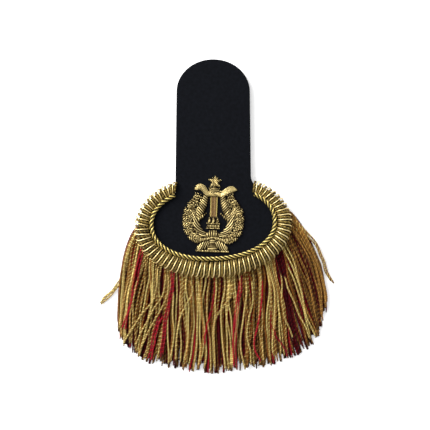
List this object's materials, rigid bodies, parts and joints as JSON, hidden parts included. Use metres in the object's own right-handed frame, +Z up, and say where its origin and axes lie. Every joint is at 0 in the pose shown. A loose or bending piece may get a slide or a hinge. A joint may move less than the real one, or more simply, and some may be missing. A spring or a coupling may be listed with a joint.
{
  "type": "epaulette",
  "caption": "Full-dress epaulette with a cloth strap and oval, twisted cord edging, padded bullion crescent, embroidered lyre badge and a thick gold and crimson cord fringe.",
  "frame": {"origin": "on the table under the middle of the whole epaulette's box", "axes": "+Z up from the table through the face, +Y along the strap towards its round tip, +X across the strap"},
  "size_m": [0.1914, 0.2494, 0.0131],
  "materials": {
    "cloth": "milled wool cloth, matt",
    "gold_cord": "twisted metallic thread, bright",
    "gold_bullion": "coiled metallic bullion, bright and dull turns",
    "old_gold_cord": "twisted metallic thread, old gold",
    "crimson_cord": "twisted silk thread, satin",
    "gold_embroidery": "padded bullion embroidery",
    "brass": "rolled strip, satin"
  },
  "bodies": {
    "root": {"board": "cloth", "edging_rope": "gold_cord", "crescent": "gold_bullion", "fringe_outer": "old_gold_cord", "fringe_inner": "crimson_cord", "badge_star": "gold_embroidery", "badge_lyre": "gold_embroidery", "badge_strings": "gold_embroidery", "badge_tailpiece": "gold_embroidery", "badge_wreath_left": "gold_embroidery", "badge_wreath_right": "gold_embroidery", "badge_foot": "gold_embroidery", "clasp_tongue": "brass"}
  },
  "joints": []
}
